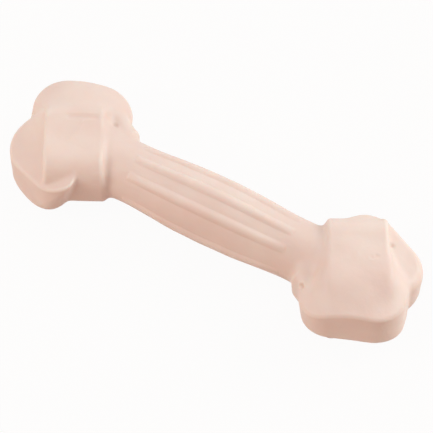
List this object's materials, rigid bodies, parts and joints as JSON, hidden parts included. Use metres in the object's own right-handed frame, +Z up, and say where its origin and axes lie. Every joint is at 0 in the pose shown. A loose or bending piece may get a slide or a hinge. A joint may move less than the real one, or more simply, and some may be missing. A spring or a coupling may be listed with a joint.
{
  "type": "bone-shaped dog toy",
  "caption": "Hollow moulded dog toy shaped as a bone: ribbed barrel shaft, knuckles of crossed round lobes and square blocks, and a squeaker pressed into a resting pad.",
  "frame": {"origin": "centre of the bounding box at the level of the resting pads", "axes": "+X along the bone towards the knuckle without the squeaker, +Z up, the toy lying on its pads"},
  "size_m": [0.2378, 0.0748, 0.0414],
  "materials": {
    "skin": "matte, pale pink, soap-smooth with soft edges",
    "squeaker": "natural off-white moulding",
    "reed": "thin polished film"
  },
  "bodies": {
    "toy": {"bone_body": "skin", "squeaker_case": "squeaker", "squeaker_cap": "squeaker", "reed_block": "squeaker", "reed_clamp": "squeaker"},
    "reed": {"reed": "reed"}
  },
  "joints": [
    {"name": "reed_bend", "type": "hinge", "parent": "toy", "child": "reed", "pos_m": [-0.0834, 0.00358, 0.0098], "axis": [1, 0, 0], "range_deg": [-3, 3], "stiffness_Nm_per_rad": 0.001}
  ]
}
